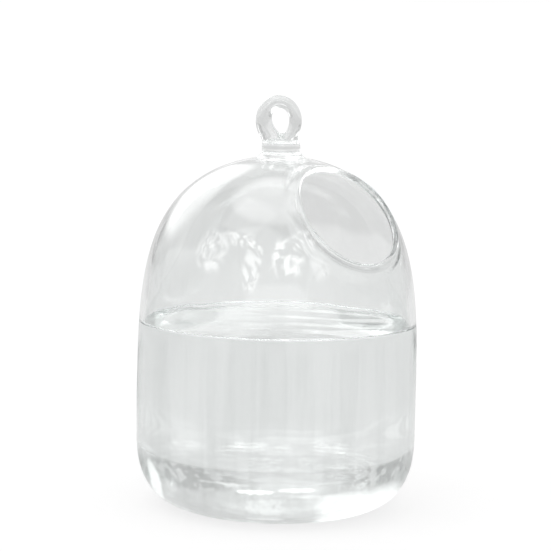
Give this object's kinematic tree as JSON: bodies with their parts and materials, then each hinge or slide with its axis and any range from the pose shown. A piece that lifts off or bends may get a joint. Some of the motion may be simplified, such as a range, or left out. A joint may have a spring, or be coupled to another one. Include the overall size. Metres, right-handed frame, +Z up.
{
  "type": "hanging vase",
  "caption": "Clear blown-glass bell bottle with a slanted round mouth in its shoulder and a fused loop on top to hang it by, part filled with water.",
  "frame": {"origin": "middle of the flat foot that the vase stands on", "axes": "+Z up along the bell's axis; the hanging loop lies in the XZ plane; the mouth opens towards +X and -Y"},
  "size_m": [0.1, 0.1, 0.1467],
  "materials": {
    "bell_glass": "clear blown glass, slightly wavy",
    "rim_glass": "fire-polished clear glass",
    "knop_glass": "solid clear glass",
    "loop_glass": "solid clear glass rod, hand bent",
    "water": "clear water"
  },
  "bodies": {
    "root": {"bell_body": "bell_glass", "mouth_rim": "rim_glass", "neck_knop": "knop_glass", "hanging_loop": "loop_glass", "water_fill": "water"}
  },
  "joints": []
}
